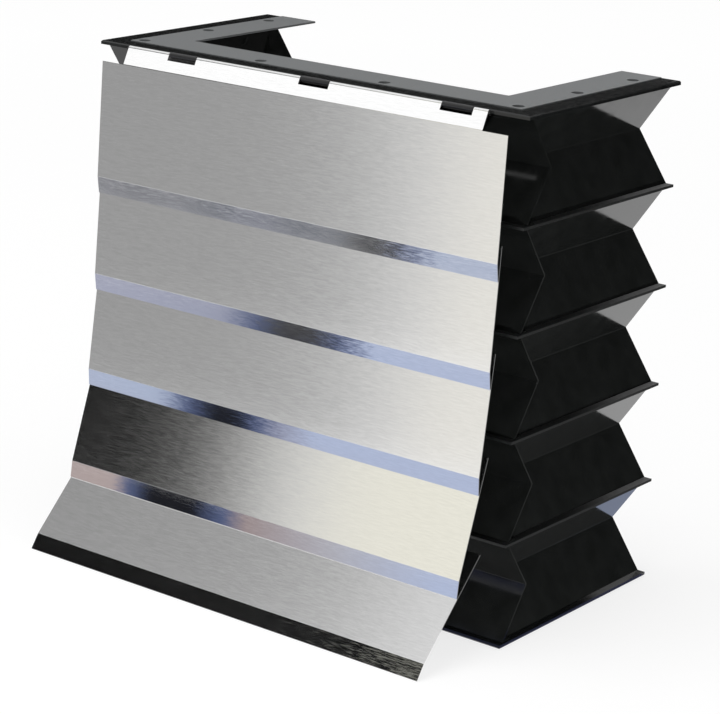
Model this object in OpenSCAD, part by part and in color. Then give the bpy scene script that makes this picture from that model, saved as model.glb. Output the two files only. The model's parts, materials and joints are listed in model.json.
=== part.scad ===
// Bellows way cover: a U-shaped folded cover whose front is armoured with hinged steel slats.
// +X runs along the front, +Y goes back into the open side of the U and +Z is up.
// The origin is the centre of the upper bolt rectangle, on the outer face of the upper plate.

/* [Frames] */
// Width of every frame, along the front
frame_w = 400; // [320:1:600]
// Depth of every frame, from its front edge to the ends of its arms
frame_d = 200; // [160:1:320]
// Width of a frame's two arms
frame_arm = 40; // [36:1:60]
// Depth of a frame's front bar
frame_bar = 40; // [36:1:60]
// Thickness of a stiffening frame between two folds
stiffener_t = 2; // [1:0.5:4]
// Thickness of the frame at either end
end_frame_t = 3; // [2.5:0.5:8]
// Chamfer round the outer edges of an end frame, on the plate's side
end_chamfer = 0.9; // [0.2:0.1:1.5]

/* [Mounting plates] */
// Thickness of a mounting plate
plate_t = 1.5; // [1.2:0.1:2.5]
// How far a plate stands out of the recess in its end frame
plate_proud = 0.5; // [0.2:0.1:1]
// Width of end frame left bare beside the plate
plate_side = 17; // [10:0.5:19]
// Width of end frame left bare in front of the plate
plate_front = 15; // [10:0.5:17]
// Width of a plate's two arms
plate_arm = 35; // [20:1:50]
// Depth of a plate's front bar
plate_bar = 35; // [20:1:50]
// Gap round the plate in its recess
plate_gap = 0.2; // [0.1:0.1:0.5]
// Diameter of a bolt hole
bolt_d = 9; // [5:0.5:10]
// Distance from a frame's side to the outer bolt holes
bolt_side = 25; // [23:0.5:34]
// Distance from a frame's front edge to the front bolt holes
bolt_front = 22.5; // [20.5:0.5:34]
// Distance from the back bolt holes to the ends of the arms
bolt_back = 27.5; // [12:0.5:40]
// Distance between the two inner holes of the front row
bolt_inner = 116; // [60:1:200]

/* [Folds] */
// Number of folds
fold_count = 5; // [2:1:8]
// Height of one fold, from frame to frame
fold_pitch = 78; // [60:1:90]
// How far a fold is set in from the edge of its frames
crest_in = 6.5; // [5.5:0.5:10]
// Depth of a fold
fold_depth = 26.2; // [15:0.1:35]
// Thickness of the folded cloth
cloth_t = 1; // [0.5:0.1:1.5]
// How far the front folds stop short of the frames' sides
front_end_in = 2; // [0:0.5:5]

/* [Slats] */
// Thickness of the slats' sheet steel
sheet_t = 0.6; // [0.4:0.1:1.2]
// How far a slat stops short of the frames' sides
slat_side = 10.8; // [6:0.1:20]
// How far a slat's hinged flange stops short of the frames' sides
flange_side = 32.4; // [25:0.1:45]
// Length of the flange, from the hinge to the bend
flange_len = 14; // [12:0.1:18]
// Angle between the flange and the face
flange_angle = 22.5; // [15:0.5:35]
// Length of a slat's face
face_len = 90.4; // [82:0.1:120]
// Length of the wiping lip along the bottom
lip_len = 13.2; // [8:0.1:20]
// Angle that the lip is bent inwards
lip_angle = 10.5; // [6:0.5:16]
// Inner radius of the bends
bend_r = 1; // [0.8:0.1:4]
// Gap between a lip and what it rests on
slat_clear = 0.3; // [0.2:0.1:1]

/* [Hinges] */
// Diameter of a hinge rod
rod_d = 2; // [1.5:0.1:3]
// Gap round the rod in a slat's rolled edge
rod_clear = 0.05; // [0.02:0.01:0.1]
// Gap round the rod in a clip
clip_clear = 0.08; // [0.02:0.01:0.1]
// Gap between a slat's rolled edge and the frame
hinge_gap = 0.4; // [0.3:0.1:1]
// Width of a notch in the flange
notch_w = 27.4; // [15:0.1:40]
// Depth of a notch below the crown of the rolled edge
notch_depth = 6.7; // [6:0.1:9]
// Distance from the flange's left end to the first notch
notch_left = 41.3; // [10:0.1:60]
// Distance from the last notch to the flange's right end
notch_right = 12.3; // [5:0.1:40]
// Gap between a clip and either side of its notch
clip_side_gap = 0.7; // [0.4:0.1:2]
// Wall of a clip round the rod
clip_wall = 0.9; // [0.6:0.1:1.2]
// Thickness of a clip's foot under the frame
clip_foot_t = 1.2; // [0.8:0.1:2]
// Gap between a clip's foot and the fold behind it
clip_foot_gap = 1; // [0.5:0.1:2]

/* [Hidden] */
$fn = 48;
// How far a cutting shape reaches past the surface that it cuts
cut_over = 1;
// Facets along one bend of the sheet steel
bend_steps = 5;
// Hinge clips on each slat
clip_count = 3;
// How far the flange lies below the crown of the rolled edge
seam_step = 0.1;
// How far a clip's block lies below the crown of its round nose
nose_step = 0.2;

// Places that follow from the sizes above
bolt_row_pitch = (frame_d - bolt_front - bolt_back) / 2;
front_y = -bolt_front - bolt_row_pitch;
back_y = front_y + frame_d;
top_level = -plate_proud - end_frame_t / 2;
bottom_z = level(fold_count) - end_frame_t / 2 - plate_proud;
bolt_x = frame_w / 2 - bolt_side;
slat_w = frame_w - 2 * slat_side;
flange_w = frame_w - 2 * flange_side;
notch_pitch = (flange_w - notch_left - notch_right - notch_w) / (clip_count - 1);
clip_w = notch_w - 2 * clip_side_gap;

// A slat's section, as distances [out, down] from its hinge while its face hangs upright
bore_r = rod_d / 2 + rod_clear;
knuckle_r = bore_r + sheet_t;
flange_out = knuckle_r - seam_step;
bend_out = flange_out * cos(flange_angle) + flange_len * sin(flange_angle);
bend_down = flange_len * cos(flange_angle) - flange_out * sin(flange_angle);
face_end = bend_down + face_len;
bend_outer_r = bend_r + sheet_t;
flange_tangent = bend_outer_r * tan(flange_angle / 2);
lip_tangent = bend_outer_r * tan(lip_angle / 2);
lip_end = [bend_out - lip_len * sin(lip_angle), face_end + lip_len * cos(lip_angle)];
lip_heel = lip_end - sheet_t * [cos(lip_angle), sin(lip_angle)];
heel_r = norm(lip_heel);
heel_angle = atan2(lip_heel[0], lip_heel[1]);
hinge_y = front_y - hinge_gap - knuckle_r;

// Clip section
clip_bore_r = rod_d / 2 + clip_clear;
clip_r = clip_bore_r + clip_wall;

cover_black = [0.07, 0.075, 0.075];
frame_black = [0.12, 0.125, 0.13];
plate_grey = [0.5, 0.51, 0.52];
slat_steel = [0.78, 0.78, 0.76];
rod_steel = [0.6, 0.6, 0.6];

// Height of the middle of frame k, counted from 0 at the top
function level(k) = top_level - k * fold_pitch;

function frame_t(k) = (k == 0 || k == fold_count) ? end_frame_t : stiffener_t;

// Tilt of slat k: the last lip rests on the floor, and every other lip on the face of the next slat
function tilt(k) = k == fold_count
    ? acos((level(k - 1) - bottom_z - slat_clear) / heel_r) - heel_angle
    : let (next = tilt(k + 1))
      next + asin((bend_out + slat_clear - fold_pitch * sin(next)) / heel_r) - heel_angle;

function arc(centre, r, from, to) =
    [for (i = [0:bend_steps]) let (a = from + (to - from) * i / bend_steps) centre + r * [cos(a), sin(a)]];

function reversed(points) = [for (i = [len(points) - 1:-1:0]) points[i]];

// Outline of a frame or plate: a U with its own arms and front bar,
// set in from the frame's sides and from its front edge
module u_outline(side, front, arm, bar) {
    inner = side + arm;
    difference() {
        translate([side - frame_w / 2, front_y + front])
            square([frame_w - 2 * side, frame_d - front]);
        translate([inner - frame_w / 2, front_y + front + bar])
            square([frame_w - 2 * inner, frame_d]);
    }
}

module frame_outline() { u_outline(0, 0, frame_arm, frame_bar); }

// Bolt holes through what lies between z = 0 and z = -depth
module bolt_holes(depth) {
    outer = [for (side = [-1, 1], row = [-1:1]) [side * bolt_x, row * bolt_row_pitch]];
    inner = [for (side = [-1, 1]) [side * bolt_inner / 2, -bolt_row_pitch]];
    for (p = concat(outer, inner))
        translate([p[0], p[1], -depth - cut_over])
            cylinder(d = bolt_d, h = depth + 2 * cut_over);
}

// Mounting plate, its outer face at z = 0
module mounting_plate() {
    color(plate_grey)
        difference() {
            translate([0, 0, -plate_t])
                linear_extrude(plate_t)
                    u_outline(plate_side, plate_front, plate_arm, plate_bar);
            bolt_holes(plate_t);
        }
}

// End frame with the recess for its plate, the plate's outer face at z = 0
module end_frame() {
    recess_side = plate_side - plate_gap;
    recess_front = plate_front - plate_gap;
    color(frame_black)
        difference() {
            translate([0, 0, -plate_proud - end_frame_t])
                linear_extrude(end_frame_t)
                    frame_outline();
            translate([recess_side - frame_w / 2, front_y + recess_front, -plate_t])
                cube([frame_w - 2 * recess_side, frame_d, plate_t]);
            bolt_holes(plate_proud + end_frame_t);
            translate([0, 0, -plate_proud]) outer_chamfers();
        }
}

// What the chamfers take off a frame's front edge and its two sides at z = 0
module outer_chamfers() {
    across(frame_w + 2 * cut_over, front_y) chamfer_section();
    for (side = [-1, 1])
        translate([side * frame_w / 2, back_y + cut_over, 0])
            rotate([90, 0, 0])
                linear_extrude(frame_d + 2 * cut_over)
                    chamfer_section();
}

module chamfer_section() { rotate(45) square(end_chamfer * sqrt(2), center = true); }

// What is drawn for the upper end, turned over for the lower end
module at_bottom() {
    translate([0, 0, bottom_z])
        mirror([0, 0, 1])
            children();
}

module top_plate() { mounting_plate(); }
module top_frame() { end_frame(); }
module bottom_plate() { at_bottom() mounting_plate(); }
module bottom_frame() { at_bottom() end_frame(); }

module stiffening_frame(k) {
    color(frame_black)
        translate([0, 0, level(k) - stiffener_t / 2])
            linear_extrude(stiffener_t)
                frame_outline();
}

// One fold: a V of cloth between frame k - 1 and frame k, welded to both.
// The front runs the whole width, and the two sides end against its back.
module fold(k) {
    high = level(k - 1) - frame_t(k - 1) / 2;
    low = level(k) + frame_t(k) / 2;
    middle = (high + low) / 2;
    valley = crest_in + fold_depth;
    // Thickness of the cloth measured level, across its slope
    through = cloth_t * norm([fold_depth, high - middle]) / (high - middle);
    v_line = [[crest_in, high], [valley, middle], [crest_in, low]];
    band = concat(v_line, reversed([for (p = v_line) p + [through, 0]]));
    ahead = concat(v_line, [[0, low - cut_over], [0, high + cut_over]]);
    side_len = frame_d - crest_in;
    color(cover_black) {
        across(frame_w - 2 * front_end_in, front_y) polygon(band);
        difference() {
            for (turn = [0, 1])
                mirror([turn, 0, 0])
                    translate([-frame_w / 2, back_y, 0])
                        rotate([90, 0, 0])
                            linear_extrude(side_len)
                                polygon(band);
            across(frame_w, front_y) polygon(ahead);
        }
    }
}

// Extrudes an outline drawn as [back, up] along X, centred on the middle plane
module across(width, y) {
    translate([0, y, 0])
        rotate([90, 0, 90])
            linear_extrude(width, center = true)
                children();
}

// Puts a slat's section, drawn as [out, down] from the hinge, at hinge k and at slat k's tilt
module at_hinge(k, width) {
    translate([0, hinge_y, level(k - 1)])
        rotate([-tilt(k), 0, 0])
            across(width, 0)
                rotate(180)
                    children();
}

// Flange with its bend, down to where the flat face begins
module flange_outline() {
    bend_centre = [bend_out - bend_outer_r, bend_down + flange_tangent];
    along = [cos(flange_angle), -sin(flange_angle)];
    polygon(concat(
        [along * flange_out],
        arc(bend_centre, bend_outer_r, -flange_angle, 0),
        arc(bend_centre, bend_r, 0, -flange_angle),
        [along * (flange_out - sheet_t)]
    ));
}

// Face with the lip bent inwards along its lower edge
module face_outline() {
    bend_centre = [bend_out - bend_outer_r, face_end - lip_tangent];
    face_start = bend_down + flange_tangent;
    polygon(concat(
        [[bend_out, face_start]],
        arc(bend_centre, bend_outer_r, 0, lip_angle),
        [lip_end, lip_heel],
        arc(bend_centre, bend_r, lip_angle, 0),
        [[bend_out - sheet_t, face_start]]
    ));
}

// Distance of the middle of notch i from the middle plane
function notch_x(i) = -flange_w / 2 + notch_left + notch_w / 2 + i * notch_pitch;

module slat(k) {
    notch_end = notch_depth - knuckle_r;
    notch_reach = knuckle_r + flange_len;
    color(slat_steel)
        difference() {
            union() {
                at_hinge(k, flange_w) circle(knuckle_r);
                at_hinge(k, flange_w) flange_outline();
                at_hinge(k, slat_w) face_outline();
            }
            at_hinge(k, slat_w) circle(bore_r);
            for (i = [0:clip_count - 1])
                translate([notch_x(i), 0, 0])
                    at_hinge(k, notch_w)
                        rotate(-flange_angle)
                            translate([-notch_reach, -notch_reach])
                                square([2 * notch_reach, notch_reach + notch_end]);
        }
}

module hinge_rod(k) {
    color(rod_steel)
        translate([0, hinge_y, level(k - 1)])
            rotate([0, 90, 0])
                cylinder(d = rod_d, h = flange_w, center = true);
}

// Three clips that hold the rod of slat k to the front edge of frame k - 1
module hinge_clips(k) {
    frame_bottom = level(k - 1) - frame_t(k - 1) / 2;
    foot_end = crest_in - clip_foot_gap;
    block_top = level(k - 1) + clip_r - nose_step;
    for (i = [0:clip_count - 1])
        translate([notch_x(i), 0, 0])
            color(frame_black)
                difference() {
                    union() {
                        across(clip_w, hinge_y) translate([0, level(k - 1)]) circle(clip_r);
                        across(clip_w, 0)
                            polygon([
                                [hinge_y, block_top],
                                [front_y, block_top],
                                [front_y, frame_bottom],
                                [front_y + foot_end, frame_bottom],
                                [front_y + foot_end, frame_bottom - clip_foot_t],
                                [hinge_y, frame_bottom - clip_foot_t]
                            ]);
                    }
                    across(notch_w, hinge_y) translate([0, level(k - 1)]) circle(clip_bore_r);
                }
}

top_plate();
top_frame();
for (k = [1:fold_count - 1])
    stiffening_frame(k);
bottom_frame();
bottom_plate();
for (k = [1:fold_count]) {
    fold(k);
    slat(k);
    hinge_rod(k);
    hinge_clips(k);
}
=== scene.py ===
# %% [markdown]
# # A bellows way cover
# A way cover keeps chips off the guide ways of a machine. This one is a U of black folded cloth on
# stiff frames, with five hinged steel slats as armour along its front. The solids come ready made
# at their real size, so this lesson is about finishes, folded cloth and studio light. Every length
# is in metres, with +X along the front, +Y into the open side of the U and +Z up.

# %% Load the solids
import json
import math

import bmesh
import bpy
from mathutils import Matrix, Vector

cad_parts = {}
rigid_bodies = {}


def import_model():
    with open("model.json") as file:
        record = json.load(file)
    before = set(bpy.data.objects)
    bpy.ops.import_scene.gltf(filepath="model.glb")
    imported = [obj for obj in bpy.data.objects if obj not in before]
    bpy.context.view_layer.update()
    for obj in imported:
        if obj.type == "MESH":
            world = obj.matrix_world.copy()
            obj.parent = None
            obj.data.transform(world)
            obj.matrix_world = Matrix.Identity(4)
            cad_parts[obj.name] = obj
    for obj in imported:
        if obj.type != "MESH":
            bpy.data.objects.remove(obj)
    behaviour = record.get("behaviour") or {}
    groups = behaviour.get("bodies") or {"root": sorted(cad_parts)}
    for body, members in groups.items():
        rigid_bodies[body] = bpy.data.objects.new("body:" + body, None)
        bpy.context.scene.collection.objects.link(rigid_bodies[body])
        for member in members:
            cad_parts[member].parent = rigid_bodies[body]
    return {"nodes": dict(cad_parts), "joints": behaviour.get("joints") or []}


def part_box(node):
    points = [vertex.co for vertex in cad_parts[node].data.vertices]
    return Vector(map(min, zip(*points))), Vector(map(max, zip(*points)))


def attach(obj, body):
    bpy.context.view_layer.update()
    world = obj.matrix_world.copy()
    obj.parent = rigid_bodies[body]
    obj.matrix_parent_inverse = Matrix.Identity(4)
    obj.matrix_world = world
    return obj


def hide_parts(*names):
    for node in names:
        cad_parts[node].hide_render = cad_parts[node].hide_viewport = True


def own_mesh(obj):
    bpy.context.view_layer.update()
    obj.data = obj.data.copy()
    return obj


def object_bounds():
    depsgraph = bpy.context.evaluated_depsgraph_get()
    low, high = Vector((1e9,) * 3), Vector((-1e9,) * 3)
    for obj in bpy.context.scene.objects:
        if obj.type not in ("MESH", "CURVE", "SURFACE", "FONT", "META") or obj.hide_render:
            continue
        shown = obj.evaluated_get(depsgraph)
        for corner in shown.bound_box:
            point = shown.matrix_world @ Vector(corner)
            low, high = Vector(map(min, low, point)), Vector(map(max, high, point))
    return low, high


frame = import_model()
nodes = frame["nodes"]
joints = {joint["name"]: joint for joint in frame["joints"]}
cad_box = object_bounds()
scene = bpy.context.scene
scene.view_settings.view_transform = "Standard"

# %% [markdown]
# ## The camera
# The camera comes first, because metal shows its surroundings and so every light and card is placed
# for one view. A long lens from above the right front corner keeps the upright lines nearly
# parallel. The small roll is in the picture too: the upright edges lean a little to the left.

# %% Camera
CAMERA_AZIMUTH = math.radians(37.11)
CAMERA_ELEVATION = math.radians(16.57)
CAMERA_ROLL = math.radians(2.23)
CAMERA_DISTANCE = 1.954
CAMERA_AIM = Vector((0.0053, -0.0216, -0.2291))
LENS_MM = 126.1

towards_camera = Vector((
    math.sin(CAMERA_AZIMUTH) * math.cos(CAMERA_ELEVATION),
    -math.cos(CAMERA_AZIMUTH) * math.cos(CAMERA_ELEVATION),
    math.sin(CAMERA_ELEVATION),
))
level_right = Vector((math.cos(CAMERA_AZIMUTH), math.sin(CAMERA_AZIMUTH), 0.0))
level_up = towards_camera.cross(level_right)
camera_right = level_right * math.cos(CAMERA_ROLL) + level_up * math.sin(CAMERA_ROLL)
camera_up = level_up * math.cos(CAMERA_ROLL) - level_right * math.sin(CAMERA_ROLL)
camera_place = CAMERA_AIM + towards_camera * CAMERA_DISTANCE

camera_data = bpy.data.cameras.new("camera")
camera_data.lens = LENS_MM
camera = bpy.data.objects.new("camera", camera_data)
turn = Matrix((camera_right, camera_up, towards_camera)).transposed().to_4x4()
camera.matrix_world = Matrix.Translation(camera_place) @ turn
scene.collection.objects.link(camera)
scene.camera = camera
print("camera stands at", [round(c, 3) for c in camera_place])

# %% [markdown]
# ## Reading the sizes
# A finish that follows a slat needs to know where that slat is hinged and how far it leans. The
# hinge is in the joint's own data, and the lean is the direction of the slat's largest flat face,
# so nothing has to be written down twice.

# %% Sizes read from the solids
FOLD_COUNT = len([name for name in nodes if name.startswith("fold_")])
FOLDS = range(1, FOLD_COUNT + 1)
FRAME_NAMES = (
    ["top_frame"]
    + ["stiffening_frame_%d" % k for k in range(1, FOLD_COUNT)]
    + ["bottom_frame"]
)


def largest_face(k):
    return max(nodes["slat_%d" % k].data.polygons, key=lambda face: face.area)


def slat_lean(k):
    """Angle of slat k from the upright, read from its largest face."""
    normal = largest_face(k).normal
    if normal.y > 0:
        normal = -normal
    return math.atan2(normal.z, -normal.y)


LEANS = {k: slat_lean(k) for k in FOLDS}


def slat_upright(k):
    """Matrix that takes slat k to its hinge as origin, with the face hanging upright."""
    hinge = Vector(joints["slat_%d_swing" % k]["pos_m"])
    return Matrix.Rotation(LEANS[k], 4, "X") @ Matrix.Translation(-hinge)


def face_place():
    """How far the face lies in front of the hinge, and how far below it the face starts and ends."""
    corners = [nodes["slat_1"].data.vertices[i].co for i in largest_face(1).vertices]
    points = [slat_upright(1) @ corner for corner in corners]
    heights = [-point.z for point in points]
    return -points[0].y, min(heights), max(heights)


FACE_OUT, FACE_START, FACE_END = face_place()
floor_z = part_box("bottom_plate")[0].z
print("slats lean", [round(math.degrees(lean), 1) for lean in LEANS.values()])
print("face from", round(FACE_START, 4), "to", round(FACE_END, 4), "below the hinge")

# %% [markdown]
# ## Small helpers for finishes
# A finish is a handful of nodes that feed one Principled shader. A few helpers keep each recipe
# short: they add a node with its settings, join two sockets, and turn a factor into a colour or into
# a value.


# %% Node helpers
def new_finish(name):
    """An empty material with its node tree and its Principled shader."""
    material = bpy.data.materials.new(name)
    material.use_nodes = True
    tree = material.node_tree
    return material, tree, tree.nodes["Principled BSDF"]


def add(tree, kind, settings=None, **inputs):
    """Adds a node of a kind, with its settings and the values of its input sockets."""
    made = tree.nodes.new("ShaderNode" + kind)
    for key, value in (settings or {}).items():
        setattr(made, key, value)
    for key, value in inputs.items():
        made.inputs[key.replace("_", " ")].default_value = value
    return made


def join(tree, start, output, end, key):
    tree.links.new(start.outputs[output], end.inputs[key])


def object_coordinates(tree, scale):
    """Object coordinates, stretched so that a pattern gets its real size along each axis."""
    coordinates = add(tree, "TexCoord")
    mapping = add(tree, "Mapping", Scale=scale)
    join(tree, coordinates, "Object", mapping, "Vector")
    return mapping


def ramp(tree, source, output, colours, limits):
    """Runs from one colour to another while a factor goes from one limit to the other."""
    made = add(tree, "ValToRGB")
    for element, colour, position in zip(made.color_ramp.elements, colours, limits):
        element.color = colour
        element.position = position
    join(tree, source, output, made, "Fac")
    return made


def spread(tree, source, output, values, limits=(0.0, 1.0)):
    """Runs from one value to another while a factor goes from one limit to the other."""
    made = add(
        tree, "MapRange", From_Min=limits[0], From_Max=limits[1], To_Min=values[0], To_Max=values[1]
    )
    join(tree, source, output, made, "Value")
    return made


def dress(names, material):
    """Gives the solids with these names one finish."""
    for name in names:
        nodes[name].data.materials.clear()
        nodes[name].data.materials.append(material)
    print(material.name, "on", len(names), "solids")


# %% [markdown]
# ## Brushed steel
# The slats are thin stainless sheet, brushed along their length. Brushing leaves fine scratches in
# one direction: they show as streaks in the brightness and in the roughness. A noise texture that
# is stretched along X gives such streaks. Each slat leans at its own angle, so a Mapping node first
# turns the pattern upright with that slat, and the streaks then stay level on it. Every streak also
# tips the surface a little to one side, which gives a reflection a combed edge. The lip along the
# bottom is worn smooth where it wipes the next slat, so it mirrors more clearly, and there each
# streak tips the reflection further. The lowest lip is the most exposed, so it is scratched the most.

# %% Streaks along a slat
STREAK_LENGTH = 0.009
STREAK_WIDTH = 0.0009
SCRATCH_LENGTH = 0.006
SCRATCH_WIDTH = 0.0004
SCRATCH_SHARE = 0.4
NOISE_RANGE = (0.3, 0.7)


def streaks(tree, upright, length, width, detail):
    """Noise that is long along the slat and fine across it."""
    mapping = add(tree, "Mapping", Scale=(1 / length, 1 / width, 1 / width))
    join(tree, upright, "Vector", mapping, "Vector")
    noise = add(tree, "TexNoise", Scale=1.0, Detail=detail, Roughness=0.6)
    join(tree, mapping, "Vector", noise, "Vector")
    return noise


def brushing(tree, upright):
    """Broad streaks and fine scratches in one pattern."""
    broad = streaks(tree, upright, STREAK_LENGTH, STREAK_WIDTH, detail=3.0)
    fine = streaks(tree, upright, SCRATCH_LENGTH, SCRATCH_WIDTH, detail=2.0)
    both = add(tree, "Mix", {"data_type": "FLOAT"}, Factor=SCRATCH_SHARE)
    join(tree, broad, "Fac", both, "A")
    join(tree, fine, "Fac", both, "B")
    return both


def lip_factor(tree, upright):
    """A factor of 1 on the lip and 0 on the rest of the slat."""
    heights = add(tree, "SeparateXYZ")
    join(tree, upright, "Vector", heights, "Vector")
    on_lip = add(tree, "Math", {"operation": "LESS_THAN"})
    on_lip.inputs[1].default_value = -FACE_END
    join(tree, heights, "Z", on_lip, "Value")
    return on_lip


def face_or_lip(tree, pattern, on_lip, face_values, lip_values):
    """Spreads a pattern between one pair of values on the face and another on the lip."""
    face = spread(tree, pattern, "Result", face_values, NOISE_RANGE)
    lip = spread(tree, pattern, "Result", lip_values, NOISE_RANGE)
    either = add(tree, "Mix", {"data_type": "FLOAT"})
    join(tree, on_lip, "Value", either, "Factor")
    join(tree, face, "Result", either, "A")
    join(tree, lip, "Result", either, "B")
    return either


def combed_normal(tree, sideways):
    """The surface's own direction, tipped along the slat."""
    tilt = add(tree, "CombineXYZ")
    join(tree, sideways, "Result", tilt, "X")
    geometry = add(tree, "NewGeometry")
    tilted = add(tree, "VectorMath", {"operation": "ADD"})
    join(tree, geometry, "Normal", tilted, 0)
    join(tree, tilt, "Vector", tilted, 1)
    unit = add(tree, "VectorMath", {"operation": "NORMALIZE"})
    join(tree, tilted, "Vector", unit, 0)
    return unit


# %% Slat steel
FACE_TILT = 0.003
LIP_TILT = 0.02
LOWEST_LIP_TILT = 0.08
FACE_ROUGHNESS = (0.1, 0.15)
LIP_ROUGHNESS = (0.06, 0.12)
STEEL_COLOURS = ((0.79, 0.79, 0.79, 1.0), (0.89, 0.89, 0.89, 1.0))


def slat_steel(k):
    material, tree, shader = new_finish("slat_steel_%d" % k)
    coordinates = add(tree, "TexCoord")
    matrix = slat_upright(k)
    upright = add(tree, "Mapping", Location=matrix.to_translation(), Rotation=matrix.to_euler())
    join(tree, coordinates, "Object", upright, "Vector")
    pattern = brushing(tree, upright)
    on_lip = lip_factor(tree, upright)

    colour = ramp(tree, pattern, "Result", STEEL_COLOURS, NOISE_RANGE)
    join(tree, colour, "Color", shader, "Base Color")
    rough = face_or_lip(tree, pattern, on_lip, FACE_ROUGHNESS, LIP_ROUGHNESS)
    join(tree, rough, "Result", shader, "Roughness")
    lip_tilt = LOWEST_LIP_TILT if k == FOLD_COUNT else LIP_TILT
    sideways = face_or_lip(tree, pattern, on_lip, (-FACE_TILT, FACE_TILT), (-lip_tilt, lip_tilt))
    join(tree, combed_normal(tree, sideways), "Vector", shader, "Normal")
    shader.inputs["Metallic"].default_value = 1.0
    return material


for k in FOLDS:
    dress(["slat_%d" % k], slat_steel(k))

# %% [markdown]
# ## Grey plates, black frames and clips
# A mounting plate is grey sheet with a dull, fine-grained skin. The frames are stamped from black
# plastic sheet: smooth with a slight haze at the two ends, and duller on the thin stiffening frames
# in between. The hinge clips are small black mouldings with a finer and deeper grain. The colours
# hardly vary, so the grain is mostly in the roughness and in a very shallow bump.

# %% Plate, frame and clip finishes
PLATE_GREY = ((0.125, 0.13, 0.133, 1.0), (0.15, 0.156, 0.159, 1.0))
FRAME_BLACK = ((0.004, 0.0045, 0.0045, 1.0), (0.007, 0.0075, 0.0075, 1.0))
CLIP_BLACK = ((0.006, 0.006, 0.0065, 1.0), (0.012, 0.012, 0.013, 1.0))
GRAIN_RANGE = (0.35, 0.65)
BUMP_HEIGHT = 0.0001


def grained(name, colours, grain, roughness, bump):
    """A plain skin with fine grain: colours, roughness and a shallow bump from one noise."""
    material, tree, shader = new_finish(name)
    mapping = object_coordinates(tree, (1 / grain,) * 3)
    noise = add(tree, "TexNoise", Scale=1.0, Detail=4.0, Roughness=0.65)
    join(tree, mapping, "Vector", noise, "Vector")
    colour = ramp(tree, noise, "Fac", colours, GRAIN_RANGE)
    join(tree, colour, "Color", shader, "Base Color")
    rough = spread(tree, noise, "Fac", roughness, GRAIN_RANGE)
    join(tree, rough, "Result", shader, "Roughness")
    relief = add(tree, "Bump", Strength=bump, Distance=BUMP_HEIGHT)
    join(tree, noise, "Fac", relief, "Height")
    join(tree, relief, "Normal", shader, "Normal")
    return material


plate_grey = grained("plate_grey", PLATE_GREY, grain=0.0012, roughness=(0.38, 0.5), bump=0.08)
frame_black = grained("frame_black", FRAME_BLACK, grain=0.004, roughness=(0.14, 0.22), bump=0.02)
dull_black = grained("dull_black", FRAME_BLACK, grain=0.004, roughness=(0.32, 0.42), bump=0.02)
clip_black = grained("clip_black", CLIP_BLACK, grain=0.0008, roughness=(0.35, 0.5), bump=0.1)
dress(["top_plate", "bottom_plate"], plate_grey)
dress([FRAME_NAMES[0], FRAME_NAMES[-1]], frame_black)
dress(FRAME_NAMES[1:-1], dull_black)
dress(["hinge_clips_%d" % k for k in FOLDS], clip_black)

# %% [markdown]
# ## Hinge rods
# The rods are drawn wire. Drawing leaves lines along the wire, so the noise is stretched along X.

# %% Rod steel
LINE_LENGTH = 0.05
LINE_WIDTH = 0.00025
ROD_COLOURS = ((0.42, 0.42, 0.42, 1.0), (0.55, 0.55, 0.54, 1.0))
ROD_ROUGHNESS = (0.2, 0.35)


def rod_steel():
    material, tree, shader = new_finish("rod_steel")
    mapping = object_coordinates(tree, (1 / LINE_LENGTH, 1 / LINE_WIDTH, 1 / LINE_WIDTH))
    noise = add(tree, "TexNoise", Scale=1.0, Detail=2.0)
    join(tree, mapping, "Vector", noise, "Vector")
    colour = ramp(tree, noise, "Fac", ROD_COLOURS, NOISE_RANGE)
    join(tree, colour, "Color", shader, "Base Color")
    rough = spread(tree, noise, "Fac", ROD_ROUGHNESS)
    join(tree, rough, "Result", shader, "Roughness")
    shader.inputs["Metallic"].default_value = 1.0
    return material


dress(["hinge_rod_%d" % k for k in FOLDS], rod_steel())

# %% [markdown]
# ## Coated cloth
# The cloth is polyester with a smooth black coating. Seen along its surface it mirrors what is
# behind it, so the shine matters more than the colour. The weave shows through the coating as a
# very shallow bump. It follows the cloth's own UV map, in metres along and across the cloth, so it
# goes round the folds. A wave texture turns through 20 radians in one unit, so its scale is worked
# out from the pitch of the threads.

# %% Cloth finish
WEAVE_PITCH = 0.0009
WEAVE_BUMP = 0.02
WAVE_RADIANS = 20.0
MOTTLE_SCALE = 60.0
CLOTH_BLACK = ((0.0056, 0.0061, 0.0058, 1.0), (0.0079, 0.0085, 0.0082, 1.0))
CLOTH_ROUGHNESS = (0.06, 0.13)
CLOTH_IOR = 1.45


def weave_pattern(tree, coordinates):
    """Threads along and across the cloth."""
    scale = math.tau / (WAVE_RADIANS * WEAVE_PITCH)
    weave = add(tree, "Mix", {"data_type": "FLOAT"}, Factor=0.5)
    for direction, side in (("X", "A"), ("Y", "B")):
        threads = add(tree, "TexWave", {"bands_direction": direction}, Scale=scale)
        join(tree, coordinates, "UV", threads, "Vector")
        join(tree, threads, "Fac", weave, side)
    return weave


def coated_cloth():
    material, tree, shader = new_finish("coated_cloth")
    coordinates = add(tree, "TexCoord")
    mottle = add(tree, "TexNoise", Scale=MOTTLE_SCALE, Detail=5.0)
    join(tree, coordinates, "UV", mottle, "Vector")
    colour = ramp(tree, mottle, "Fac", CLOTH_BLACK, GRAIN_RANGE)
    join(tree, colour, "Color", shader, "Base Color")
    rough = spread(tree, mottle, "Fac", CLOTH_ROUGHNESS, NOISE_RANGE)
    join(tree, rough, "Result", shader, "Roughness")
    relief = add(tree, "Bump", Strength=WEAVE_BUMP, Distance=BUMP_HEIGHT)
    join(tree, weave_pattern(tree, coordinates), "Result", relief, "Height")
    join(tree, relief, "Normal", shader, "Normal")
    shader.inputs["IOR"].default_value = CLOTH_IOR
    return material


cloth = coated_cloth()
print("threads lie", WEAVE_PITCH, "apart")

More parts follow.
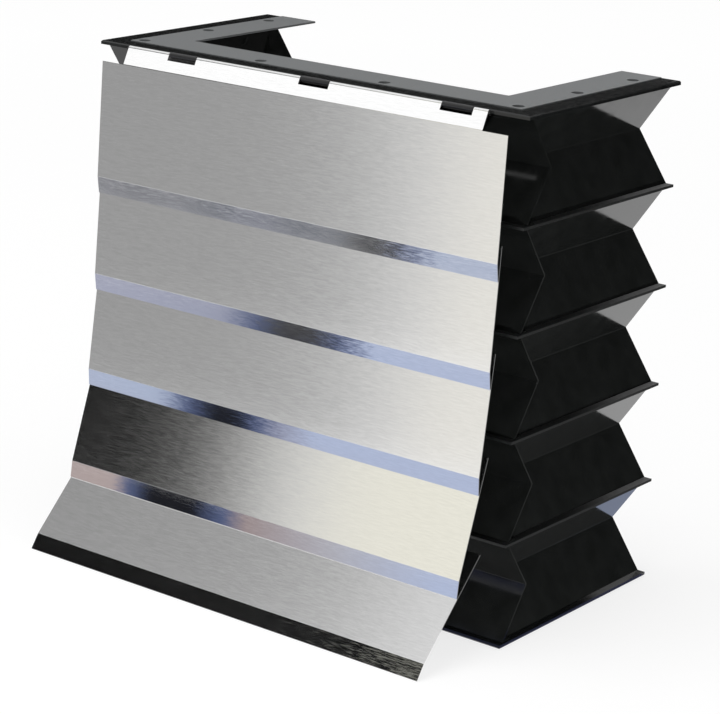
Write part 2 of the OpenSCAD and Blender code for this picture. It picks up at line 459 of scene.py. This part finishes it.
# %% [markdown]
# ## The folds
# Every fold is a V of cloth between two frames. The front runs the whole width and stops square,
# and the two sides end against its back. A V is a line of points pulled along the wall, so each
# leaf of a wall is one edge extrusion. A cut along the plane of the front wall gives the sides their
# slanting ends, and a narrow bevel rounds the crease. The upper and lower edges turn inwards, where
# the cloth is welded to the frames.

# %% Fold sizes
CLOTH_T = 0.001
CREASE_R = 0.0003
WELD_MARGIN = 0.009
WELD_GAP = 0.00005
NEAR = 0.0001


def fold_sizes(k):
    """Sizes of fold k, read from its solid and from the frame that carries it."""
    low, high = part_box("fold_%d" % k)
    frame_low, frame_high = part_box(FRAME_NAMES[k])
    middle = (low.z + high.z) / 2
    half = (high.z - low.z) / 2 - WELD_GAP
    points = [v.co for v in nodes["fold_%d" % k].data.vertices]
    at_crease = [p.x for p in points if abs(p.z - middle) < NEAR and abs(p.y - high.y) < NEAR]
    crest = low.y - frame_low.y
    depth = frame_high.x - crest - max(at_crease)
    return {
        "low": low, "high": high, "middle": middle, "half": half,
        "front": frame_low.y, "side": frame_high.x, "crest": crest,
        "depth": depth, "leaf": math.hypot(half, depth),
    }


sizes = {k: fold_sizes(k) for k in FOLDS}
print("depth of the folds", [round(size["depth"], 4) for size in sizes.values()])


# %% Fold walls
def leaf_line(size, sign):
    """Upper or lower leaf from its weld to the crease: distances in from the edge, and heights."""
    edge = size["middle"] + sign * size["half"]
    crest = size["crest"]
    return [(crest + WELD_MARGIN, edge), (crest, edge), (crest + size["depth"], size["middle"])]


def pulled(bm, points, along, outwards):
    """Pulls a line of points along a vector, and turns the new faces outwards."""
    line = [bm.verts.new(point) for point in points]
    edges = [bm.edges.new(pair) for pair in zip(line, line[1:])]
    made = bmesh.ops.extrude_edge_only(bm, edges=edges)["geom"]
    moved = [item for item in made if isinstance(item, bmesh.types.BMVert)]
    faces = [item for item in made if isinstance(item, bmesh.types.BMFace)]
    bmesh.ops.translate(bm, verts=moved, vec=along)
    bmesh.ops.recalc_face_normals(bm, faces=faces)
    if sum(face.normal.dot(outwards) for face in faces) < 0:
        bmesh.ops.reverse_faces(bm, faces=faces)
    return faces


def cut_to_front(bm, faces, size, sign):
    """Cuts a leaf of a side wall where it meets the back of the front wall."""
    edges = {edge for face in faces for edge in face.edges}
    points = {point for face in faces for point in face.verts}
    forwards = Vector((0, -size["half"], -sign * size["depth"])).normalized()
    valley = Vector((0, size["front"] + size["crest"] + size["depth"], size["middle"]))
    bmesh.ops.bisect_plane(
        bm, geom=faces + list(edges) + list(points), plane_co=valley - forwards * CLOTH_T / 2,
        plane_no=forwards, clear_outer=True,
    )


def fold_walls(size):
    """A front wall and two side walls, with a rounded crease."""
    bm = bmesh.new()
    width = size["high"].x - size["low"].x
    run = size["front"] + size["crest"] - size["high"].y
    for sign in (1, -1):
        line = leaf_line(size, sign)
        front = [Vector((size["low"].x, size["front"] + s, z)) for s, z in line]
        pulled(bm, front, Vector((width, 0, 0)), Vector((0, -1, 0)))
        for side in (-1, 1):
            wall = [Vector((side * (size["side"] - s), size["high"].y, z)) for s, z in line]
            faces = pulled(bm, wall, Vector((0, run, 0)), Vector((side, 0, 0)))
            cut_to_front(bm, faces, size, sign)
    bmesh.ops.remove_doubles(bm, verts=bm.verts, dist=NEAR)
    creases = [
        edge for edge in bm.edges
        if len(edge.link_faces) == 2 and all(abs(v.co.z - size["middle"]) < NEAR for v in edge.verts)
    ]
    bmesh.ops.bevel(
        bm, geom=creases, offset=CREASE_R, offset_type="OFFSET", segments=3, profile=0.5,
        affect="EDGES", material=-1,
    )
    return bm


# %% [markdown]
# ## Weave map, thickness and motion
# The UV map holds metres: along the wall in one direction, and along the V in the other. A Solidify
# modifier gives the cloth its thickness towards the inside. The piece then moves with the frame that
# carries it.


# %% Fold pieces
def lay_weave(bm, size):
    """Writes metres along the wall and along the V into a UV map."""
    layer = bm.loops.layers.uv.new("weave")
    for face in bm.faces:
        xs = [v.co.x for v in face.verts]
        ys = [v.co.y for v in face.verts]
        on_front = max(xs) - min(xs) > max(ys) - min(ys)
        for loop in face.loops:
            x, y, z = loop.vert.co
            inwards = y - size["front"] if on_front else size["side"] - abs(x)
            share = (z - size["middle"]) / size["half"]
            past_edge = inwards - size["crest"] if abs(share) > 1 - NEAR else 0.0
            across = share * size["leaf"] + math.copysign(past_edge, share)
            loop[layer].uv = (x if on_front else y, across)


def fold_piece(k):
    """The cloth of fold k as one piece with its weave map and its thickness."""
    bm = fold_walls(sizes[k])
    lay_weave(bm, sizes[k])
    mesh = bpy.data.meshes.new("cloth_fold_%d" % k)
    bm.to_mesh(mesh)
    bm.free()
    mesh.materials.append(cloth)
    piece = bpy.data.objects.new("cloth_fold_%d" % k, mesh)
    scene.collection.objects.link(piece)
    thick = piece.modifiers.new("thickness", "SOLIDIFY")
    thick.thickness = CLOTH_T
    thick.offset = -1.0
    return piece


def declare_fold(piece, k):
    """Joins the piece to its frame, and hides the solid that it stands in for."""
    joint = joints["fold_%d_travel" % k]
    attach(piece, joint["parent"])
    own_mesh(piece)
    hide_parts("fold_%d" % k)


for k in FOLDS:
    declare_fold(fold_piece(k), k)

# %% [markdown]
# ## White room
# The background is plain white. The world shows as white to the camera, in reflections and through
# anything clear, and lights the object less strongly than that, so that grey stays grey. The floor
# works the same way: it glows where it is seen directly, so that it reads as white, and the rest of
# its brightness is real light, so that the object's shadow stays on it. Lamplight thins out with the
# distance, so the glow rises a little to make up for it.

# %% World and floor
ROOM_LIGHT = 0.62
FLOOR_GREY = 0.26
FLOOR_GLOW = (0.75, 0.81)
GLOW_REACH = (0.5, 2.5)
FLOOR_RADIUS = 9.0


def grey(value):
    return (value, value, value)


WHITE = (*grey(1.0), 1.0)


def seen_directly(tree):
    """A factor of 1 for camera, glossy and transmission rays."""
    path = add(tree, "LightPath")
    direct = path
    output = "Is Camera Ray"
    for other in ("Is Glossy Ray", "Is Transmission Ray"):
        either = add(tree, "Math", {"operation": "MAXIMUM"})
        join(tree, direct, output, either, 0)
        join(tree, path, other, either, 1)
        direct = either
        output = "Value"
    return direct


def white_world():
    world = bpy.data.worlds.new("white_room")
    world.use_nodes = True
    tree = world.node_tree
    strength = spread(tree, seen_directly(tree), "Value", (ROOM_LIGHT, 1.0))
    background = tree.nodes["Background"]
    background.inputs["Color"].default_value = WHITE
    join(tree, strength, "Result", background, "Strength")
    scene.world = world


def floor_finish():
    """A dull grey that glows where it is seen directly, and a little more further out."""
    material, tree, shader = new_finish("floor_white")
    shader.inputs["Base Color"].default_value = (*grey(FLOOR_GREY), 1.0)
    shader.inputs["Roughness"].default_value = 1.0
    shader.inputs["Specular IOR Level"].default_value = 0.0
    shader.inputs["Emission Color"].default_value = WHITE
    coordinates = add(tree, "TexCoord")
    distance = add(tree, "VectorMath", {"operation": "LENGTH"})
    join(tree, coordinates, "Object", distance, 0)
    far = spread(tree, distance, "Value", FLOOR_GLOW, GLOW_REACH)
    glow = add(tree, "Math", {"operation": "MULTIPLY"})
    join(tree, far, "Result", glow, 0)
    join(tree, seen_directly(tree), "Value", glow, 1)
    join(tree, glow, "Value", shader, "Emission Strength")
    return material


def white_floor():
    bm = bmesh.new()
    bmesh.ops.create_circle(bm, cap_ends=True, segments=64, radius=FLOOR_RADIUS)
    bmesh.ops.translate(bm, verts=bm.verts, vec=(0, 0, floor_z))
    mesh = bpy.data.meshes.new("floor")
    bm.to_mesh(mesh)
    bm.free()
    mesh.materials.append(floor_finish())
    floor = bpy.data.objects.new("floor", mesh)
    scene.collection.objects.link(floor)


white_world()
white_floor()
print("floor lies at", round(floor_z, 4))

# %% [markdown]
# ## Lamps
# A large lamp hangs above and in front, because a large lamp gives soft shadows. A small one stands
# close to the floor in front on the right. Its light comes from below and reaches in behind the
# slats, so the front walls show, and the leaves that look down are a little lighter than those that
# look up. Both are hidden from reflections, because a lamp would be a glaring spot in the steel.

# %% Studio lamps
MIDDLE = (cad_box[0] + cad_box[1]) / 2


def round_lamp(name, place, size, power):
    """A round lamp that shines at the middle of the object and doesn't show in reflections."""
    data = bpy.data.lights.new(name, "AREA")
    data.shape = "DISK"
    data.size = size
    data.energy = power
    lamp = bpy.data.objects.new(name, data)
    lamp.location = place
    towards = MIDDLE - Vector(place)
    lamp.rotation_euler = towards.to_track_quat("-Z", "Y").to_euler()
    lamp.visible_glossy = False
    scene.collection.objects.link(lamp)
    print(name, "is", round(towards.length, 2), "away, with", power, "watts")


round_lamp("key_lamp", place=(-0.2, -0.7, 2.0), size=1.6, power=26.0)
round_lamp("low_lamp", place=(1.1, -0.75, -0.36), size=0.06, power=17.5)

# %% [markdown]
# ## Cards for the metal
# Polished and brushed sheet shows its surroundings, so a studio puts cards round it. A card belongs
# where the ray from the camera lands after it bounces off the slat, and a small function finds that
# place. The cards are seen in reflections only: the camera looks through them, and they give no
# light and no shadow.

# %% Mirror rays
slat_low, slat_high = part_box("slat_1")


def bounce(point, normal):
    """Direction of the ray from the camera after it bounces off a surface."""
    ray = (point - camera_place).normalized()
    return ray - 2 * ray.dot(normal) * normal


def slat_point(k, share, down):
    """A point on slat k: its share of the way from left to right, and how far below the hinge."""
    place = slat_upright(k).inverted() @ Vector((0, -FACE_OUT, -down))
    place.x = slat_low.x + share * (slat_high.x - slat_low.x)
    return place


def slat_ends(k, down):
    """The left and the right end of a line along slat k, some way below the hinge."""
    return [slat_point(k, share, down) for share in (0, 1)]


def slat_normal(k, bent):
    """Outward direction of slat k's face, or of a part that is bent from the face."""
    angle = LEANS[k] + bent
    return Vector((0, -math.cos(angle), math.sin(angle)))


# %% Card maker
X_AXIS = Vector((1, 0, 0))
Y_AXIS = Vector((0, 1, 0))
UP = Vector((0, 0, 1))


def glow_finish(name):
    """A material that only glows, with its node tree and its Emission node."""
    material = bpy.data.materials.new(name)
    material.use_nodes = True
    tree = material.node_tree
    tree.nodes.clear()
    glow = add(tree, "Emission", Strength=1.0)
    output = add(tree, "OutputMaterial")
    join(tree, glow, "Emission", output, "Surface")
    return material, tree, glow


def card(name, centre, across, upwards, size, material):
    """A flat card of a width and a height, seen in reflections only."""
    place = Matrix((across * size[0], upwards * size[1], across.cross(upwards))).transposed().to_4x4()
    bm = bmesh.new()
    bmesh.ops.create_grid(
        bm, x_segments=1, y_segments=1, size=0.5, matrix=Matrix.Translation(centre) @ place
    )
    mesh = bpy.data.meshes.new(name)
    bm.to_mesh(mesh)
    bm.free()
    mesh.materials.append(material)
    made = bpy.data.objects.new(name, mesh)
    for ray in ("camera", "diffuse", "shadow", "transmission", "volume_scatter"):
        setattr(made, "visible_" + ray, False)
    scene.collection.objects.link(made)
    print(name, "measures", round(size[0], 3), "by", round(size[1], 3))


# %% [markdown]
# ## Colours that run along a slat
# A flat mirror shows the room as if the camera stood behind it, at its own mirror image. Seen from
# there, every spot of a card lies behind one spot of the slat. Its distance sideways, divided by its
# distance ahead, tells how far along the slat that is. So the colours of a card are written down as
# its reflection looks, from the slat's left end to its right end, and the card may stand anywhere.


# %% Colours seen in a slat
def measured_along(tree, source, axis):
    """How far a vector reaches along an axis."""
    made = add(tree, "VectorMath", {"operation": "DOT_PRODUCT"})
    join(tree, source, "Vector", made, 0)
    made.inputs[1].default_value = axis
    return made


def colour_stops(tree, stops):
    """A colour ramp with a list of stops, each a share of the way and a colour."""
    made = add(tree, "ValToRGB")
    elements = made.color_ramp.elements
    while len(elements) < len(stops):
        elements.new(0.5)
    for element, (place, colour) in zip(elements, stops):
        element.position = place
        element.color = (*colour, 1.0)
    return made


def fan_glow(name, centre, across, ahead, limits, stops):
    """A glow whose colours fan out from a centre, between two slopes of sideways over ahead."""
    material, tree, glow = glow_finish(name)
    coordinates = add(tree, "TexCoord")
    seen = add(tree, "VectorMath", {"operation": "SUBTRACT"})
    join(tree, coordinates, "Object", seen, 0)
    seen.inputs[1].default_value = centre
    slope = add(tree, "Math", {"operation": "DIVIDE"})
    join(tree, measured_along(tree, seen, across), "Value", slope, 0)
    join(tree, measured_along(tree, seen, ahead), "Value", slope, 1)
    share = spread(tree, slope, "Value", (0.0, 1.0), limits)
    colours = colour_stops(tree, stops)
    join(tree, share, "Result", colours, "Fac")
    join(tree, colours, "Color", glow, "Color")
    return material


def shown_in_slat(name, k, bent, stops):
    """A glow whose colours run along slat k, or along a part of it that is bent from the face."""
    normal = slat_normal(k, bent)
    ends = slat_ends(k, FACE_END)
    depth = (camera_place - ends[0]).dot(normal)
    mirrored = camera_place - 2 * depth * normal
    limits = [(end.x - mirrored.x) / depth for end in ends]
    return fan_glow(name, mirrored, X_AXIS, normal, limits, stops)


# %% [markdown]
# ## Cards in front of the slats
# Upright cards stand to the left in front. A card is level, or it rises along the line on which the
# slat shows it, so that it stays clear of what the other slats show. The cards for the faces stand
# far off, where the reflections of the upright slats and of the leaning ones are well apart. The
# lowest slat leans so far that its lip looks ahead too. Its card is black and turns grey at the right
# end, and the scratches of the lip draw that grey out into streaks.

# %% Upright card maker
JUST_OVER = 0.001
FACE_MIDDLE = (FACE_START + FACE_END) / 2
FLANGE_BEND = math.radians(22.5)
FLANGE_MIDDLE = FACE_START / 2
LIP_BEND = math.radians(-10.5)
LIP_HALF = 0.0065
LIP_MIDDLE = FACE_END + LIP_HALF


def landing(k, bent, down, distance):
    """Where a line along slat k shows up at a distance: its two ends, and the way ahead."""
    normal = slat_normal(k, bent)
    ends = slat_ends(k, down)
    middle = (ends[0] + ends[1]) / 2
    ahead = bounce(middle, normal)
    ahead.z = 0
    ahead.normalize()
    landed = []
    for end in ends:
        ray = bounce(end, normal)
        landed.append(end + ray * ((distance - (end - middle).dot(ahead)) / ray.dot(ahead)))
    return landed, ahead


def upright_card(name, k, bent, down, distance, heights, stops, spare=0.9, level=True, foot=0.0):
    """A card that stands where slat k shows it, between two heights and wider by some spare."""
    landed, ahead = landing(k, bent, down, distance)
    across = UP.cross(ahead)
    run = (landed[1] - landed[0]).dot(across)
    rise = 0.0 if level else (landed[1].z - landed[0].z) / run
    width = run + spare
    centre = (landed[0] + landed[1]) / 2
    centre.z = sum(heights) / 2
    finish = shown_in_slat(name, k, bent, stops)
    card(name, centre, across + UP * rise, UP, (width, heights[1] - heights[0]), finish)
    if foot:
        centre -= ahead * foot / 2
        centre.z = floor_z + JUST_OVER
        card(name + "_foot", centre, across, ahead, (width, foot), finish)


# %% Upright cards
FAR = 2.5
NEARER = 1.6
NEAREST = 1.2
BORDER = -0.11
WARM_WHITE = (0.92, 0.9, 0.84)
CREAM = (0.95, 0.93, 0.82)
# The grey at the black card's right end glows there. The lowest lip shows it only as a painted
# reflection, drawn out into streaks by its scratches.
REFLECTED_STREAK_GREY = (0.15, 0.15, 0.13)

upright_card("horizon_card", 2, 0.0, FACE_MIDDLE, distance=FAR, heights=(floor_z, BORDER), stops=[
    (0.0, grey(0.37)), (0.3, grey(0.375)), (0.42, grey(0.385)), (0.52, grey(0.41)), (0.62, grey(0.47)),
    (0.72, grey(0.58)), (0.82, grey(0.74)), (0.93, WARM_WHITE),
], foot=1.4)
upright_card("dark_card", 4, 0.0, FACE_MIDDLE, distance=FAR, heights=(BORDER, 0.75), stops=[
    (0.0, grey(0.004)), (0.19, grey(0.005)), (0.3, grey(0.055)), (0.4, grey(0.25)), (0.49, grey(0.55)),
    (0.59, grey(0.79)), (0.72, CREAM),
])
upright_card("bright_card", 1, FLANGE_BEND, FLANGE_MIDDLE, distance=NEARER, heights=(0.7, 1.15), stops=[
    (0.0, grey(1.2)), (1.0, grey(1.2)),
], spare=0.2, level=False)
upright_card("black_card", 5, LIP_BEND, LIP_MIDDLE, distance=NEAREST, heights=(0.174, 0.514), stops=[
    (0.0, grey(0.006)), (0.7, grey(0.008)), (0.95, grey(0.012)), (1.0, REFLECTED_STREAK_GREY),
], spare=0.5, level=False)
upright_card("high_card", 5, 0.0, FACE_MIDDLE, distance=NEARER, heights=(0.85, 1.8), stops=[
    (0.0, grey(0.33)), (0.3, grey(0.35)), (0.45, grey(0.36)), (0.6, grey(0.41)), (0.75, grey(0.49)),
    (0.87, grey(0.64)), (1.0, grey(0.8)),
], level=False)

# %% [markdown]
# ## Cards for the lips
# The other lips look down, so they show what lies on the floor in front. The first three each have a
# blue-grey sheet there with a dark strip across it. The fourth lip hangs low and looks at the same
# place as the second, so its colours are on a low board that stands in front of that place.

# %% Lip card makers
LIP_REACH = 0.037
LIP_SPARE = 0.3
BOARD_PLACE = (slat_low.x / 2, -0.252)
BOARD_HEIGHT = 0.0455


def floor_card(name, low, high, finish):
    """A card flat on the floor between two corners."""
    centre = Vector(((low[0] + high[0]) / 2, (low[1] + high[1]) / 2, floor_z + JUST_OVER))
    card(name, centre, X_AXIS, Y_AXIS, (high[0] - low[0], high[1] - low[1]), finish)


def lip_card(k, stops):
    """A card that lies where the lip of slat k shows it."""
    name = "lip_card_%d" % k
    landed = []
    for point in slat_ends(k, LIP_MIDDLE):
        ray = bounce(point, slat_normal(k, LIP_BEND))
        landed.append(point + ray * ((floor_z - point.z) / ray.z))
    low = (landed[0].x - LIP_SPARE, landed[0].y - LIP_REACH)
    high = (landed[1].x + LIP_SPARE, landed[1].y + LIP_REACH)
    floor_card(name, low, high, shown_in_slat(name, k, LIP_BEND, stops))


def lip_board(k, stops):
    """A low board along the slat that stands where only the lip of slat k shows it."""
    name = "lip_board_%d" % k
    centre = Vector((*BOARD_PLACE, floor_z + BOARD_HEIGHT / 2))
    width = slat_high.x - slat_low.x + 2 * LIP_SPARE
    card(name, centre, X_AXIS, UP, (width, BOARD_HEIGHT), shown_in_slat(name, k, LIP_BEND, stops))


# %% Lip cards
BLUE_GREY = (0.5, 0.57, 0.77)
PINK_GREY = (0.49, 0.41, 0.4)
STRIP_BLACK = (0.012, 0.013, 0.017)
STRIP_BROWN = (0.05, 0.05, 0.052)
STRIP_BLUE = (0.1, 0.13, 0.25)

lip_card(1, [
    (0.0, (0.25, 0.255, 0.28)), (0.1, (0.19, 0.195, 0.22)), (0.2, (0.25, 0.255, 0.28)),
    (0.31, (0.16, 0.17, 0.2)), (0.42, (0.24, 0.25, 0.3)), (0.52, (0.17, 0.18, 0.21)),
    (0.62, (0.21, 0.22, 0.25)), (0.68, STRIP_BROWN), (0.75, STRIP_BROWN), (0.79, STRIP_BLUE),
    (0.86, (0.46, 0.52, 0.68)),
])
lip_card(2, [
    (0.0, (0.43, 0.445, 0.56)), (0.355, (0.37, 0.39, 0.5)), (0.425, STRIP_BLUE), (0.49, STRIP_BROWN),
    (0.585, STRIP_BROWN), (0.655, STRIP_BLUE), (0.72, BLUE_GREY),
])
lip_card(3, [
    (0.0, (0.49, 0.55, 0.72)), (0.2, (0.47, 0.54, 0.71)), (0.27, STRIP_BLUE), (0.34, STRIP_BLACK),
    (0.41, STRIP_BLACK), (0.46, STRIP_BLUE), (0.52, (0.36, 0.38, 0.5)), (0.61, BLUE_GREY),
])
lip_board(4, [
    (0.0, PINK_GREY), (0.12, PINK_GREY), (0.16, STRIP_BLUE), (0.22, STRIP_BLACK), (0.34, STRIP_BLACK),
    (0.42, STRIP_BLUE), (0.48, (0.38, 0.31, 0.31)), (0.7, (0.5, 0.5, 0.56)), (0.95, BLUE_GREY),
])

# %% [markdown]
# ## Cards beside and behind
# The black frames and folds mirror what is behind them, so dark cards keep them black, and a grey
# sheet covers the floor on the right. A blue-grey sheet close behind the right side shows in the
# lowest fold, and narrow blue ones round the foot show in the lower frame's edge.

# %% Other cards
DARK_BLUE = (0.15, 0.17, 0.4)
FOOT = 0.012
GROUND_LOW = (0.02, 0.106)
GROUND_HIGH = (0.23, 0.22)
RIGHT_HIGH = (1.3, 1.3)
RIGHT_GREY = 0.25
foot_low, foot_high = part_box("bottom_frame")


def plain_glow(name, colour):
    material, _, glow = glow_finish(name)
    glow.inputs["Color"].default_value = (*colour, 1.0)
    return material


def rear_card(name, azimuth, distance, width, heights, value):
    """A dark upright card behind the object, at an angle from straight back."""
    ahead = Vector((math.sin(azimuth), math.cos(azimuth), 0))
    centre = ahead * distance
    centre.z = sum(heights) / 2
    finish = plain_glow(name, grey(value))
    card(name, centre, ahead.cross(UP), UP, (width, heights[1] - heights[0]), finish)


foot_glow = plain_glow("foot_card", DARK_BLUE)
floor_card("foot_side_card", (foot_high.x, foot_low.y), (foot_high.x + FOOT, foot_high.y), foot_glow)
floor_card("foot_front_card", (foot_low.x, foot_low.y - FOOT), (foot_high.x, foot_low.y), foot_glow)
ground_glow = plain_glow("rear_ground_card", BLUE_GREY)
floor_card("rear_ground_card", GROUND_LOW, GROUND_HIGH, ground_glow)
right_glow = plain_glow("right_floor_card", grey(RIGHT_GREY))
floor_card("right_floor_card", (foot_high.x + FOOT, foot_low.y), RIGHT_HIGH, right_glow)
rear_card(
    "rear_right_card", math.radians(36), distance=1.4, width=1.4, heights=(floor_z, 0.8), value=0.01
)
rear_card(
    "rear_middle_card", math.radians(18), distance=1.47, width=0.3, heights=(0.7, 1.05), value=0.01
)
rear_card(
    "rear_left_card", math.radians(-40), distance=1.7, width=1.1, heights=(0.0, 0.7), value=0.012
)

# %% [markdown]
# ## A wall for the other views
# From any other side the slats would show little but white, and sheet steel is hard to read that way.
# So a wide wall with soft grey bands stands in front on the right, where the main view doesn't show
# it in the steel, and its bands run on over the floor in front of it.

# %% Banded wall
WALL_AZIMUTH = math.radians(32)
WALL_DISTANCE = 2.5
WALL_HEIGHT = 2.0
WALL_SLOPE = math.tan(math.radians(52))
WALL_GREYS = (0.85, 0.4, 0.55, 0.9, 0.45, 0.35, 0.8, 0.9)
WALL_FOOT_START = 1.2
WALL_FOOT_WIDTH = 3.2

wall_ahead = Vector((math.sin(WALL_AZIMUTH), -math.cos(WALL_AZIMUTH), 0))
wall_across = UP.cross(wall_ahead)
wall_stops = [(n / (len(WALL_GREYS) - 1), grey(value)) for n, value in enumerate(WALL_GREYS)]
wall_glow = fan_glow(
    "wall_card", Vector(), wall_across, wall_ahead, (-WALL_SLOPE, WALL_SLOPE), wall_stops
)
wall_centre = wall_ahead * WALL_DISTANCE + UP * (floor_z + WALL_HEIGHT / 2)
wall_size = (2 * WALL_SLOPE * WALL_DISTANCE, WALL_HEIGHT)
card("wall_card", wall_centre, wall_across, UP, wall_size, wall_glow)
foot_depth = WALL_DISTANCE - WALL_FOOT_START
foot_centre = wall_ahead * (WALL_FOOT_START + foot_depth / 2) + UP * (floor_z + JUST_OVER)
card("wall_foot_card", foot_centre, wall_across, wall_ahead, (WALL_FOOT_WIDTH, foot_depth), wall_glow)
